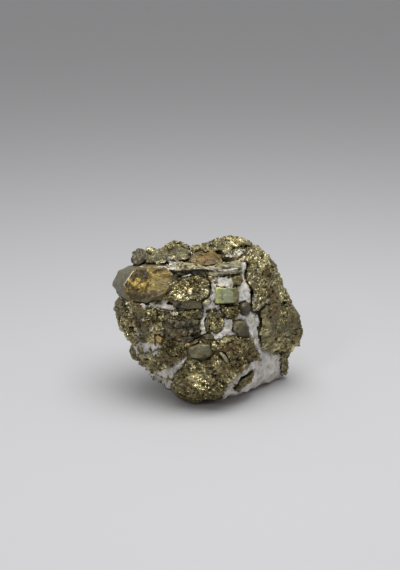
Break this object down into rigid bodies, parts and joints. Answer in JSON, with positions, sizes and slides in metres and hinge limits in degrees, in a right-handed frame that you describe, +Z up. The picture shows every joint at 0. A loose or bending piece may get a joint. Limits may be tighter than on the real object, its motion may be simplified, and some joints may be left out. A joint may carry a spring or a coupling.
{
  "type": "pyrite specimen",
  "caption": "Hand specimen of massive pyrite: granular brassy masses and larger crystals set in pale vein quartz, resting on a flat base.",
  "frame": {"origin": "the middle of the specimen's box, at the surface it rests on", "axes": "+X to the right along its width, +Y from the face with the large stained crystal to the back, +Z up"},
  "size_m": [0.0602, 0.0424, 0.0484],
  "materials": {
    "vein_quartz": "satin",
    "granular_pyrite": "satin",
    "bright_pyrite": "gloss",
    "stained_pyrite": "satin",
    "striated_pyrite": "gloss",
    "tarnished_pyrite": "satin",
    "weathered_pyrite": "matte"
  },
  "bodies": {
    "root": {"striated_cube": "striated_pyrite", "round_dark_crystal": "tarnished_pyrite", "small_brown_crystal": "granular_pyrite", "gold_crystal": "bright_pyrite", "slender_crystal": "weathered_pyrite", "olive_crystal": "weathered_pyrite", "grey_tablet": "weathered_pyrite", "top_quartz_crystal": "vein_quartz", "white_grain": "vein_quartz", "small_dark_crystal": "tarnished_pyrite", "dark_plate": "tarnished_pyrite", "bright_lens": "bright_pyrite", "stained_crystal": "stained_pyrite", "speckled_crystal": "granular_pyrite", "bronze_chunk": "granular_pyrite", "sparkle_band": "granular_pyrite", "dark_bronze_mass": "tarnished_pyrite", "pyrite_stringer": "granular_pyrite", "centre_bronze_mass": "granular_pyrite", "bronze_mass": "granular_pyrite", "left_lower_mass": "granular_pyrite", "left_mass": "granular_pyrite", "lower_mass": "granular_pyrite", "foot_mass": "granular_pyrite", "right_lower_mass": "granular_pyrite", "right_upper_mass": "granular_pyrite", "knob_crystal": "tarnished_pyrite", "top_stained_mass": "stained_pyrite", "top_ledge_mass": "weathered_pyrite", "top_left_mass": "granular_pyrite", "top_ridge_mass": "granular_pyrite", "back_small_cube": "bright_pyrite", "back_cube": "bright_pyrite", "back_pyritohedron": "bright_pyrite", "back_upper_mass": "granular_pyrite", "back_right_mass": "granular_pyrite", "back_left_mass": "granular_pyrite", "back_lower_mass": "granular_pyrite", "quartz_matrix": "vein_quartz"}
  },
  "joints": []
}
